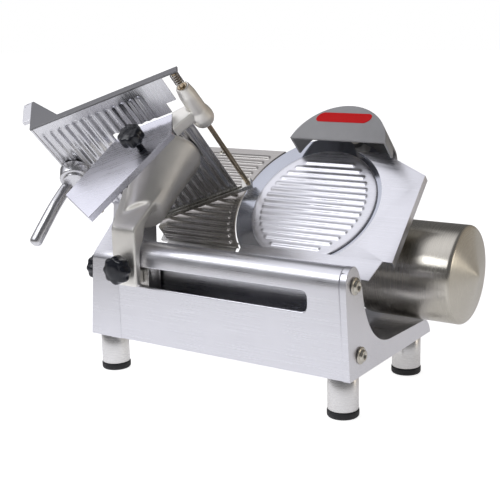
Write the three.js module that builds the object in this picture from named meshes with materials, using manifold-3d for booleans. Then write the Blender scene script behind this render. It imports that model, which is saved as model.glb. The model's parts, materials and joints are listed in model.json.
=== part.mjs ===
// Gravity-feed deli meat slicer with a 300 mm knife.
// Millimetres. X runs along the carriage travel, from the operator's left to right, Y runs away from
// the operator and Z is up. The machine is laid out from its front right foot and is centred on its
// own footprint at the end.
import * as THREE from 'three';
import { mergeVertices } from 'three/addons/utils/BufferGeometryUtils.js';
import Module from 'manifold-3d';

const wasm = await Module();
wasm.setup();
const { degToRad } = THREE.MathUtils;

// ---- driving dimensions ----
const GAP = 0.35; // between neighbouring pieces
const FOOT_SPACING_X = 470;
const FOOT_SPACING_Y = 234;
const FOOT_RADIUS = 25;
const FOOT_PAD_HEIGHT = 12;
const BASE_BOTTOM = 67;
const BASE_FRONT = -28;
const BASE_BACK = 275;
const BASE_LEFT = -499.5;
const BASE_RIGHT = 27.5;
const DECK_HEIGHT = 93;
const HOUSING_TOP = 243.5;
const HOUSING_BACK = 25;
const ROLL_START = 209; // where the housing's front begins to roll back over its top
const WALL = 5;
const CURVE_STEPS = 14;
const END_PLATE = 11;
const LEFT_CASTING = 69; // width of the hollow casting at the left end
const LEAN_LEFT = Math.tan(degToRad(5));
const LEAN_RIGHT = Math.tan(degToRad(2.8));
const SLOT = { left: -445, right: -49, low: 169, high: 203 };
const CARRIAGE_ROD = { y: 0, z: 214, radius: 10, from: -474, to: 7.5 };
const BUSHING_RADIUS = 13;
const GUIDE_ROD = { y: 9, z: 101, radius: 8, from: -484.8, to: 13 };

const KNIFE_CENTRE = new THREE.Vector3(-164.1, 195.4, 293.1);
const KNIFE_TILT = degToRad(45);
const KNIFE_RADIUS = 150;
const COVER_RADIUS = 118.5;
const FENCE_CUTOUT = 127;
const GAUGE_CUTOUT = 153;
const RIB_PITCH = 12.7;

const MOTOR = { y: 253.9, z: 184, radius: 85.4, rim: 104, coneHeight: 19, left: -60 };
const WORM_LEVEL = -118; // along the knife's axis, behind the knife plane
const WORM_DROP = -35.8; // below the knife's axis, in the knife plane

const TRAY_TILT = degToRad(29);
const TRAY_CORNER = new THREE.Vector3(-145, 20, 0);
const TRAY = { width: 262, right: -16, low: 9.5, high: 318, thickness: 3.5, wall: 68 };
const ROD = { x: 4.6, y: 3, radius: 4.5, low: 12, high: 314 };
const PUSHER_PLATE = { low: 216, high: 230 };
const ARM = { left: -428, right: -376, front: -45, back: -29, bend: 274 };
const ARM_FLARE = 0.3; // how fast each side of the arm spreads above its bend
const ARM_PAD = { x: -98, z: 147, radius: 64, depth: 100 };
const BELL_SLANT = 0.17; // how far the bell under the tray runs down the slope as it narrows
const ARM_KNOB = { x: -400, z: 204 };
const STAR_LOBES = 8;
const LEVER_RADIUS = 11;

// ---- finishes ----
const finish = (color, roughness, metalness) => (
  new THREE.MeshStandardMaterial({ color, roughness, metalness })
);
const castAluminium = () => finish(0xb9bcc2, 0.35, 0.9);
const brushedAluminium = () => finish(0xc9ccd3, 0.28, 0.95);
const stainless = () => finish(0xb4b5ae, 0.3, 0.95);
const polishedSteel = () => finish(0x9a9fa8, 0.15, 1);
const greyPaint = () => finish(0x8d8f92, 0.5, 0.3);
const blackPlastic = () => finish(0x0c0d10, 0.35, 0);
const bronze = () => finish(0x9a7b4a, 0.4, 0.9);
const castIron = () => finish(0x3c3f43, 0.6, 0.7);
const zincSteel = () => finish(0x8c8676, 0.3, 0.9);
const stone = () => finish(0xb8b0a0, 0.95, 0);

// ---- solids ----
function toManifold(geometry) {
  const bare = geometry.clone();
  bare.deleteAttribute('normal');
  bare.deleteAttribute('uv');
  const merged = mergeVertices(bare, 1e-4);
  const position = merged.attributes.position;
  const corners = [];
  const point = [new THREE.Vector3(), new THREE.Vector3(), new THREE.Vector3()];
  let volume = 0;
  for (let i = 0; i < merged.index.count; i += 3) {
    const [a, b, c] = [0, 1, 2].map((k) => merged.index.getX(i + k));
    if (a === b || b === c || c === a) continue;
    [a, b, c].forEach((v, k) => point[k].fromBufferAttribute(position, v));
    volume += point[0].dot(point[1].clone().cross(point[2]));
    corners.push([a, b, c]);
  }
  const outward = volume < 0 ? corners.map(([a, b, c]) => [a, c, b]) : corners;
  return new wasm.Manifold(new wasm.Mesh({
    numProp: 3,
    vertProperties: new Float32Array(position.array),
    triVerts: new Uint32Array(outward.flat()),
  }));
}

function toGeometry(solid) {
  const { vertProperties, triVerts } = solid.getMesh();
  const geometry = new THREE.BufferGeometry();
  geometry.setAttribute('position', new THREE.BufferAttribute(vertProperties, 3));
  geometry.setIndex(new THREE.BufferAttribute(triVerts, 1));
  geometry.computeVertexNormals();
  return geometry;
}

const join = (...pieces) => toGeometry(pieces.map(toManifold).reduce((all, one) => all.add(one)));
const cut = (body, ...tools) => toGeometry(
  tools.map(toManifold).reduce((left, tool) => left.subtract(tool), toManifold(body)),
);

function box(x0, x1, y0, y1, z0, z1) {
  const geometry = new THREE.BoxGeometry(x1 - x0, y1 - y0, z1 - z0);
  return geometry.translate((x0 + x1) / 2, (y0 + y1) / 2, (z0 + z1) / 2);
}

function outline(points) {
  const shape = new THREE.Shape();
  shape.moveTo(...points[0]);
  points.slice(1).forEach((point) => shape.lineTo(...point));
  return shape;
}

// A shape extruded along Z between two levels.
function slab(shape, from, to, curveSegments = 8) {
  const depth = to - from;
  const geometry = new THREE.ExtrudeGeometry(shape, { depth, bevelEnabled: false, curveSegments });
  return geometry.translate(0, 0, from);
}

// A shape drawn in Y and Z, extruded along X.
function bar(shape, from, to, curveSegments = 8) {
  const geometry = slab(shape, from, to, curveSegments);
  const turn = new THREE.Matrix4().makeBasis(
    new THREE.Vector3(0, 1, 0),
    new THREE.Vector3(0, 0, 1),
    new THREE.Vector3(1, 0, 0),
  );
  return geometry.applyMatrix4(turn);
}

// Turned pieces: a profile of [radius, height] points, with its axis along X, Y or Z.
function turned(axis, profile, centre = [0, 0, 0], segments = 32) {
  const points = profile.map(([radius, height]) => new THREE.Vector2(radius, height));
  const geometry = new THREE.LatheGeometry(points, segments);
  if (axis === 'x') geometry.rotateZ(-Math.PI / 2);
  if (axis === 'z') geometry.rotateX(Math.PI / 2);
  return geometry.translate(...centre);
}

const pin = (axis, radius, from, to, centre, segments) => turned(
  axis, [[0, from], [radius, from], [radius, to], [0, to]], centre, segments,
);
const sleeve = (axis, inner, outer, from, to, centre, segments) => turned(
  axis, [[inner, from], [outer, from], [outer, to], [inner, to], [inner, from]], centre, segments,
);

// A star knob standing along Z, with rounded lobes.
function starKnob(radius, height, lobes = STAR_LOBES) {
  const points = Array.from({ length: lobes * 6 }, (_, i) => {
    const angle = (i / (lobes * 6)) * Math.PI * 2;
    const reach = radius * (0.93 + 0.07 * Math.cos(lobes * angle));
    return [reach * Math.cos(angle), reach * Math.sin(angle)];
  });
  return slab(outline(points), 0, height);
}

const machine = new THREE.Group();
const knife = new THREE.Group();
knife.position.copy(KNIFE_CENTRE);
knife.rotation.x = KNIFE_TILT;
const tray = new THREE.Group();
tray.position.copy(TRAY_CORNER);
tray.rotation.z = TRAY_TILT;
const leftFace = new THREE.Group();
leftFace.position.set(BASE_LEFT, 0, BASE_BOTTOM);
leftFace.rotation.y = Math.atan(LEAN_LEFT);
knife.add(tray);
machine.add(knife, leftFace);
machine.updateMatrixWorld(true);

function add(parent, name, geometry, material) {
  const mesh = new THREE.Mesh(toGeometry(toManifold(geometry)), material);
  mesh.name = name;
  parent.add(mesh);
}

// Moves a geometry from one group's frame into another's.
function reframe(geometry, from, to) {
  const matrix = to.matrixWorld.clone().invert().multiply(from.matrixWorld);
  return geometry.applyMatrix4(matrix);
}

// ---- base ----
// Both outer ends lean inwards as they rise.
function endLean(geometry) {
  const position = geometry.attributes.position;
  const reach = END_PLATE + 1;
  for (let i = 0; i < position.count; i += 1) {
    const x = position.getX(i);
    const rise = position.getZ(i) - BASE_BOTTOM;
    if (x < BASE_LEFT + reach) position.setX(i, x + rise * LEAN_LEFT);
    if (x > BASE_RIGHT - reach) position.setX(i, x - rise * LEAN_RIGHT);
  }
  return geometry;
}

function housingShape(inset = 0) {
  const bottom = inset > 0 ? BASE_BOTTOM - 10 : BASE_BOTTOM;
  const front = BASE_FRONT + inset;
  const top = HOUSING_TOP - inset;
  const back = HOUSING_BACK - inset;
  const deck = DECK_HEIGHT - inset;
  const shape = new THREE.Shape();
  shape.moveTo(front, bottom);
  shape.lineTo(front, ROLL_START);
  shape.quadraticCurveTo(front, top, 2, top);
  shape.bezierCurveTo(14, top, back - 3, 225, back, 190);
  shape.lineTo(back, deck);
  shape.lineTo(BASE_BACK - inset - 3, deck);
  shape.lineTo(BASE_BACK - inset, bottom);
  return shape;
}

function rightEndShape() {
  const shape = new THREE.Shape();
  shape.moveTo(BASE_FRONT, BASE_BOTTOM);
  shape.lineTo(BASE_FRONT, ROLL_START);
  shape.quadraticCurveTo(BASE_FRONT, HOUSING_TOP + 1, 2, HOUSING_TOP + 1);
  shape.bezierCurveTo(16, 243, 24, 215, 27, 190);
  shape.bezierCurveTo(33, 150, 55, 104, 113, 99);
  shape.lineTo(249, DECK_HEIGHT + 1.5);
  shape.quadraticCurveTo(270, DECK_HEIGHT, BASE_BACK, BASE_BOTTOM);
  return shape;
}

// The left end rises into a tower with a 45 degree front. An inset gives the hollow inside it.
function leftEndShape(inset = 0) {
  const bottom = inset > 0 ? BASE_BOTTOM - 10 : BASE_BOTTOM;
  const front = BASE_FRONT + inset;
  const shape = new THREE.Shape();
  shape.moveTo(front, bottom);
  shape.lineTo(front, 208 - inset / 2);
  shape.quadraticCurveTo(front + 1, 216 - inset / 2, -19 + inset, 224 - inset / 2);
  shape.lineTo(21 + inset, 262 - inset / 2);
  shape.quadraticCurveTo(26 + inset, 267 - inset / 2, 26 + inset, 273);
  shape.lineTo(26 + inset, 296 - inset * 2);
  shape.quadraticCurveTo(26 + inset, 303 - inset * 2, 34 + inset, 301 - inset * 2);
  shape.lineTo(84 - inset, 251 - inset);
  shape.bezierCurveTo(80 - inset, 160, 85 - inset, 104 - inset, 130, 99 - inset);
  shape.lineTo(249 - inset, DECK_HEIGHT + 1.5 - inset);
  shape.quadraticCurveTo(270 - inset, DECK_HEIGHT - inset, BASE_BACK - inset, BASE_BOTTOM);
  if (inset > 0) shape.lineTo(BASE_BACK - inset, bottom);
  return shape;
}

const BUTTONS = [
  { name: 'start_button', y: -2, z: 78, colour: 0x2f7d3a },
  { name: 'stop_button', y: -2, z: 55.5, colour: 0xa82020 },
];
const BUTTON_RADIUS = 9;
const INDEX = { y: 6, z: 183, radius: 24, shaft: 7 };

function buildBase() {
  const castingRight = BASE_LEFT + LEFT_CASTING;
  const shellRight = BASE_RIGHT - END_PLATE - GAP;
  const shell = endLean(bar(housingShape(), castingRight + GAP, shellRight, CURVE_STEPS));
  const hollow = bar(housingShape(WALL), BASE_LEFT - 50, BASE_RIGHT + 50, CURVE_STEPS);
  const slotHeight = SLOT.high - SLOT.low;
  const corner = slotHeight * 0.35;
  const window = new THREE.Shape();
  window.moveTo(SLOT.left, SLOT.low);
  window.lineTo(SLOT.right - corner, SLOT.low);
  window.quadraticCurveTo(SLOT.right, SLOT.low, SLOT.right, SLOT.low + corner);
  window.lineTo(SLOT.right, SLOT.high - corner);
  window.quadraticCurveTo(SLOT.right, SLOT.high, SLOT.right - corner, SLOT.high);
  window.lineTo(SLOT.left, SLOT.high);
  const windowCut = slab(window, -BASE_FRONT - WALL - 1, -BASE_FRONT + 1).rotateX(Math.PI / 2);
  add(machine, 'base_casting', cut(shell, hollow, windowCut), brushedAluminium());

  const rightPlate = endLean(bar(rightEndShape(), BASE_RIGHT - END_PLATE, BASE_RIGHT, CURVE_STEPS));
  add(machine, 'right_end_plate', rightPlate, castAluminium());

  const tower = endLean(bar(leftEndShape(), BASE_LEFT, castingRight));
  const towerHollow = endLean(bar(leftEndShape(WALL), BASE_LEFT + END_PLATE, castingRight - WALL));
  const passage = bar(housingShape(WALL), castingRight - WALL - 1, castingRight + 1, CURVE_STEPS);
  const buttonHoles = BUTTONS.map(({ y, z }) => reframe(
    pin('x', BUTTON_RADIUS + GAP, -5, 20, [0, y, z], 16), leftFace, machine,
  ));
  const indexAxis = [0, INDEX.y, INDEX.z];
  const shaftHole = pin('x', INDEX.shaft + GAP, BASE_LEFT - 20, BASE_LEFT + 60, indexAxis, 16);
  const rodAxis = [0, CARRIAGE_ROD.y, CARRIAGE_ROD.z];
  const seatRadius = CARRIAGE_ROD.radius + GAP;
  const rodSeat = pin('x', seatRadius, CARRIAGE_ROD.from - GAP, castingRight + 1, rodAxis, 24);
  const leftCasting = cut(tower, towerHollow, passage, ...buttonHoles, shaftHole, rodSeat);
  add(machine, 'left_end_casting', leftCasting, castAluminium());

  const screws = { upper_end_screw: CARRIAGE_ROD, lower_end_screw: GUIDE_ROD };
  Object.entries(screws).forEach(([name, { y, z }]) => {
    const face = BASE_RIGHT - (z - BASE_BOTTOM) * LEAN_RIGHT + 1.1;
    const washer = 14;
    const head = 9;
    const profile = [[0, 0], [washer, 0], [washer, 2], [head, 2], [head, 7], [0, 7]];
    add(machine, name, turned('x', profile, [face, y, z], 20), zincSteel());
  });

  add(machine, 'bottom_cover', box(
    BASE_LEFT + 25, BASE_RIGHT - 25, BASE_FRONT + WALL + 2, BASE_BACK - WALL - 5,
    BASE_BOTTOM + GAP, BASE_BOTTOM + 2.3,
  ), stainless());

  const feet = { front_right: [0, 0], front_left: [-1, 0], back_right: [0, 1], back_left: [-1, 1] };
  Object.entries(feet).forEach(([place, [i, j]]) => {
    const centre = [i * FOOT_SPACING_X, j * FOOT_SPACING_Y, 0];
    const soft = FOOT_RADIUS + 1;
    const foot = turned('z', [
      [0, 0], [soft - 3, 0], [soft, 3], [soft, FOOT_PAD_HEIGHT], [FOOT_RADIUS, FOOT_PAD_HEIGHT],
      [FOOT_RADIUS, BASE_BOTTOM - GAP], [0, BASE_BOTTOM - GAP],
    ], centre, 28);
    add(machine, `foot_${place}`, foot, brushedAluminium());
  });

  const rails = { carriage_rod: CARRIAGE_ROD, guide_rod: GUIDE_ROD };
  Object.entries(rails).forEach(([name, { y, z, radius, from, to }]) => {
    add(machine, name, pin('x', radius, from, to, [0, y, z], 24), polishedSteel());
  });
  add(machine, 'run_capacitor', pin('x', 17, -46, 0, [0, -1, 150], 20), blackPlastic());
  const gland = turned('y', [[0, 0], [11, 0], [11, 8], [7, 12], [7, 24], [0, 24]],
    [-380, BASE_BACK + GAP, 82], 16);
  add(machine, 'cable_gland', gland, blackPlastic());
}

// ---- controls on the left end ----
function buildControls() {
  const bezel = box(-5 - GAP, -GAP, -17, 13, 43.5, 90);
  const holes = BUTTONS.map(({ y, z }) => pin('x', BUTTON_RADIUS + GAP, -8, 2, [0, y, z], 16));
  add(leftFace, 'switch_bezel', cut(bezel, ...holes), blackPlastic());
  BUTTONS.forEach(({ name, y, z, colour }) => {
    add(leftFace, name, pin('x', BUTTON_RADIUS, -10, 14, [0, y, z], 16), finish(colour, 0.4, 0));
  });
  add(leftFace, 'switch_body', box(19, 45, -18, 12, 48.5, 89), blackPlastic());

  const indexShaft = join(
    pin('x', INDEX.shaft, -496, -450, [0, INDEX.y, INDEX.z], 16),
    pin('x', 12, -466, -456, [0, INDEX.y - 2, INDEX.z], 20),
  );
  add(machine, 'index_shaft', indexShaft, polishedSteel());
  const knob = starKnob(INDEX.radius, 22).rotateY(-Math.PI / 2);
  add(machine, 'index_knob', knob.translate(-496.4, INDEX.y, INDEX.z), blackPlastic());
}

// ---- knife, its drive and the parts around it ----
function ribs(halfWidth, count, from, to, thickness = 5) {
  return Array.from({ length: count }, (_, i) => (i - (count - 1) / 2) * RIB_PITCH).map((level) => {
    const [left, right] = halfWidth(level);
    return box(left, right, level - thickness / 2, level + thickness / 2, from, to);
  });
}

function buildKnife() {
  const blade = turned('z', [
    [24.4, -1], [112, -1], [119, -1.6], [KNIFE_RADIUS, 0], [KNIFE_RADIUS, -0.6],
    [138, -5], [24.4, -5], [24.4, -1],
  ], [0, 0, 0], 64);
  add(knife, 'blade', blade, polishedSteel());
  const shaft = turned('z', [
    [5.4, -148], [10, -148], [10, -24], [12, -24], [12, -11], [40, -11], [40, -5.4], [24, -5.4],
    [24, -1.4], [5.4, -1.4], [5.4, -148],
  ], [0, 0, 0], 32);
  add(knife, 'blade_shaft', shaft, polishedSteel());
  const wheel = turned('z', [
    [10.35, -128], [22, -128], [20, -123], [20, -113], [22, -108], [10.35, -108], [10.35, -128],
  ]);
  add(knife, 'worm_wheel', wheel, bronze());

  const ribReach = 103;
  const cover = join(
    turned('z', [[0, -0.6], [COVER_RADIUS - 4, -0.6], [COVER_RADIUS, -0.9], [COVER_RADIUS, 0.6],
      [COVER_RADIUS - 6, 2.2], [0, 2.2]], [0, 0, 0], 48),
    ...ribs((level) => {
      const reach = Math.sqrt(ribReach ** 2 - level ** 2);
      return [-reach, reach];
    }, 15, 1, 4.4),
  );
  add(knife, 'knife_cover', cover, brushedAluminium());
  const lock = join(
    pin('z', 5, -172, -1, [0, 0, 0], 16),
    starKnob(17, 14, 5).translate(0, 0, -180),
  );
  add(knife, 'cover_lock_knob', lock, blackPlastic());
}

function buildKnifeHousing() {
  // Back plate behind the knife: open on the left, where the slices fall, and carried on a quill.
  const plate = new THREE.Shape();
  plate.absarc(0, 0, 104, 0, Math.PI * 2);
  const wing = outline([[60, -80], [180, -80], [180, 66], [98, 104], [40, 104]]);
  const socket = box(-16, 64, 60, 104, -40, -14);
  const housing = cut(
    join(
      slab(plate, -20, -14, 20),
      slab(wing, -20, -14),
      pin('z', 30, -84, -14, [0, 0, 0], 28),
      socket,
    ),
    pin('z', 24.4, -100, -50, [0, 0, 0], 24),
    pin('z', 13, -60, -10, [0, 0, 0], 24),
    pin('z', 19.4, -40, -5, [0, 0, 0], 24),
    box(6, 42, 50, 120, -35, -22),
  );
  add(knife, 'knife_housing', housing, castAluminium());
  add(knife, 'front_knife_bearing', sleeve('z', 12.35, 19, -23.7, -14.5, [0, 0, 0], 24), polishedSteel());
  add(knife, 'rear_knife_bearing', sleeve('z', 10.35, 24, -83, -70, [0, 0, 0], 24), polishedSteel());

  const gearbox = cut(
    box(-45, 45, -62, 40, -146, -84.5),
    box(-38, 38, -56, 34, -150, -91),
    pin('z', 12, -95, -80, [0, 0, 0], 20),
    pin('x', 20, 20, 60, [0, WORM_DROP, WORM_LEVEL], 20),
  );
  add(knife, 'gearbox_housing', gearbox, castIron());
  add(knife, 'gearbox_cover', cut(
    box(-45, 45, -62, 40, -150.4, -146.4),
    pin('z', 11, -155, -140, [0, 0, 0], 20),
  ), castIron());

  const fence = new THREE.Shape();
  const top = Math.asin(119 / FENCE_CUTOUT);
  const bottom = -Math.asin(100 / FENCE_CUTOUT);
  fence.moveTo(FENCE_CUTOUT * Math.cos(top), 119);
  fence.absarc(0, 0, FENCE_CUTOUT, top, bottom, true);
  fence.lineTo(188, -100);
  fence.lineTo(188, 78);
  fence.lineTo(100, 119);
  const lip = slab(outline([[-104, -99.5], [172, -99.5], [160, -139], [-104, -139]]), 2.7, 4.9);
  const edge = box(186, 188.8, -100, 78, -12, 3.3);
  const posts = [[172, -70], [172, 50]].map(([x, y]) => pin('z', 6, -14 + GAP, 1, [x, y, 0], 12));
  const fencePlate = join(slab(fence, 0.8, 3.3, 28), edge, lip, ...posts);
  add(knife, 'fence_plate', fencePlate, brushedAluminium());
}

// A V-shaped cradle under the gearbox's lowest corner.
function buildCradle() {
  const { x, y, z } = KNIFE_CENTRE;
  const at = (up, out) => [y + (up - out) * Math.SQRT1_2, z + (up + out) * Math.SQRT1_2];
  const front = 198;
  const back = 262;
  const shape = outline([
    [front, DECK_HEIGHT + GAP], [front, 168], at(-62.4, -92), at(-62.4, -150.8), at(-12, -150.8),
    at(-18, -160), [back, 130], [back, DECK_HEIGHT + GAP],
  ]);
  const halfWidth = 36;
  add(machine, 'gearbox_cradle', bar(shape, x - halfWidth, x + halfWidth), castAluminium());
}

function buildMotor() {
  const { y, z, radius, rim, coneHeight, left } = MOTOR;
  const axis = [0, y, z];
  const shell = turned('x', [
    [radius - 3, left], [radius, left], [radius, rim - 3], [radius - 3, rim], [0, rim + coneHeight],
    [0, rim + coneHeight - 3], [radius - 5, rim - 3], [radius - 3, rim - 6], [radius - 3, left],
  ], axis, 56);
  add(machine, 'motor_shell', shell, stainless());
  const flangeLeft = KNIFE_CENTRE.x + 45.4;
  const flange = turned('x', [
    [19, flangeLeft], [42, flangeLeft], [52, flangeLeft + 10], [radius - 1, left - 6],
    [radius - 1, left - GAP], [radius - 7, left - GAP], [radius - 7, left - 8], [44, flangeLeft + 17],
    [19, flangeLeft + 17], [19, flangeLeft],
  ], axis, 40);
  add(machine, 'motor_flange', flange, castAluminium());
  add(machine, 'motor_stator', sleeve('x', 44, 81.5, left + 30, left + 90, axis, 36), castIron());
  const wormMiddle = KNIFE_CENTRE.x;
  const rotor = turned('x', [
    [0, wormMiddle - 32], [7, wormMiddle - 32], [7, wormMiddle - 22], [12.5, wormMiddle - 22],
    [12.5, wormMiddle + 22], [10, wormMiddle + 22], [10, left + 26], [43, left + 26], [43, left + 94],
    [10, left + 94], [10, rim - 8], [0, rim - 8],
  ], axis, 24);
  add(machine, 'motor_rotor', rotor, polishedSteel());
  const frontBearing = sleeve('x', 10.35, 18.6, flangeLeft + 4, flangeLeft + 16, axis, 24);
  add(machine, 'front_motor_bearing', frontBearing, polishedSteel());
  add(machine, 'rear_motor_bearing', sleeve('x', 10.35, 26, rim - 24, rim - 12, axis, 24), polishedSteel());
}

// ---- gauge plate ----
const GAUGE = { low: -105, high: 112, left: -305 };

function buildGauge() {
  const { low, high, left } = GAUGE;
  const arcX = (level) => -Math.sqrt(GAUGE_CUTOUT ** 2 - level ** 2);
  const face = new THREE.Shape();
  const start = Math.PI + Math.asin(-low / GAUGE_CUTOUT);
  const end = Math.PI - Math.asin(high / GAUGE_CUTOUT);
  face.moveTo(left, low + 23);
  face.lineTo(left + 32, low);
  face.lineTo(arcX(low), low);
  face.absarc(0, 0, GAUGE_CUTOUT, start, end, true);
  face.lineTo(left + 26, high);
  face.lineTo(left, high - 8);
  const plate = join(
    slab(face, -4, 0, 24),
    ...ribs((level) => [left + 12, arcX(level) - 9], 16, -1, 2.4),
  );
  add(knife, 'gauge_plate', plate, brushedAluminium());
  const guide = [-236, -70, 0];
  const rodX = KNIFE_CENTRE.x + guide[0];
  const skirt = box(-272, -120, -120, -92, -9, -4 - GAP);
  const bracket = cut(
    join(box(-290, -182, -106, 60, -12, -4 - GAP), skirt, pin('z', 15, -60, -10, guide, 20)),
    pin('z', 8 + GAP, -70, -14, guide, 16),
  );
  add(knife, 'gauge_bracket', bracket, castAluminium());
  const post = box(rodX - 17, rodX + 17, 208, 256, DECK_HEIGHT + GAP, 166);
  const support = join(pin('z', 8, -128, -31, guide, 16), reframe(post, machine, knife));
  add(knife, 'gauge_support', support, castAluminium());
}

// ---- sharpener ----
const SHARPENER = { x: 24, y: 88, radius: 97, low: 107, back: -20, front: 50 };

function capShape(inset) {
  const { x, y, radius, low } = SHARPENER;
  const level = inset > 0 ? low - 20 : low;
  const start = Math.asin((level - y) / (radius - inset));
  const shape = new THREE.Shape();
  shape.absarc(x, y, radius - inset, start, Math.PI - start, false);
  return shape;
}

function buildSharpener() {
  const { back, front, x } = SHARPENER;
  const topY = 168;
  const shell = cut(
    slab(capShape(0), back, front, 24),
    slab(capShape(4), back + 4, front - 4, 24),
    box(-90, -30, 90, 152, -8, 4.5),
    box(96, 135, 90, 128, -8, 6),
    pin('z', 9.4, back - 2, back + 6, [x - 18, 138, 0], 16),
    pin('z', 4.4, back - 2, back + 6, [x + 10, topY, 0], 12),
  );
  add(knife, 'sharpener_cover', shell, greyPaint());
  const grindAt = [x - 18, 138, 0];
  const post = cut(
    join(box(8, 40, 62, 150, -34, -23), box(8, 40, 128, 150, -24, back + 1)),
    pin('z', 9.6, -40, -5, grindAt, 16),
    box(0, 50, 50, 160, back - GAP, 5),
  );
  add(knife, 'sharpener_post', post, polishedSteel());
  add(knife, 'grind_button', pin('z', 9, -48, -16, grindAt, 16), blackPlastic());
  add(knife, 'grind_stone', pin('z', 10, -15.5, -8, [x - 18, 144, 0], 20), stone());
  const pull = join(
    pin('z', 4, -30, 36, [x + 10, topY, 0], 12),
    pin('z', 9, -38, -28, [x + 10, topY, 0], 14),
    box(x + 4, x + 16, 138, topY + 3, 30, 36),
  );
  add(knife, 'deburr_pull', pull, zincSteel());
  add(knife, 'deburr_stone', pin('z', 10, 4.5, 29.6, [x + 10, 144, 0], 20), stone());
}

// ---- carriage: slider, arm, food tray, handle and pusher rod ----
// The arm stands in front of the housing, bends back over it and ends in a bell under the tray.
function buildArm() {
  const side = outline([
    [ARM.front, 170], [ARM.front, 268], [-43, 274], [-38, 280], [15, 332], [33, 314], [7, 298], [-11, 280],
    [-16, 266], [-18, 248], [-26, 239], [ARM.back, 222], [ARM.back, 170],
  ]);
  const stem = bar(side, ARM.left, ARM.right);
  const corner = stem.attributes.position;
  for (let i = 0; i < corner.count; i += 1) {
    const above = Math.max(0, corner.getZ(i) - ARM.bend);
    const flare = corner.getX(i) < (ARM.left + ARM.right) / 2 ? -ARM_FLARE : ARM_FLARE;
    corner.setX(i, corner.getX(i) + flare * above);
  }
  const neck = box(ARM.left + 6, ARM.right - 4, ARM.front + 5, -18 - GAP, SLOT.low + 4, SLOT.high - 4);
  const { x, z, radius, depth } = ARM_PAD;
  const bell = turned('y', [
    [0, -depth], [36, -depth], [41, -75], [47, -52], [53, -34], [58, -20], [62, -10],
    [radius, -6], [radius, 4], [0, 4],
  ], [0, 0, 0], 48);
  const position = bell.attributes.position;
  const rimHeight = 8;
  for (let i = 0; i < position.count; i += 1) {
    const below = Math.max(0, -position.getY(i) - rimHeight);
    position.setX(i, position.getX(i) + x - below * Math.tan(TRAY_TILT));
    position.setZ(i, position.getZ(i) + z - below * BELL_SLANT);
  }
  const aboveFloor = reframe(box(-400, 200, -GAP, 200, -50, 400), tray, machine);
  const arm = cut(join(stem, neck, reframe(bell, tray, machine)), aboveFloor);
  add(machine, 'carriage_arm', arm, castAluminium());
}

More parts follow.
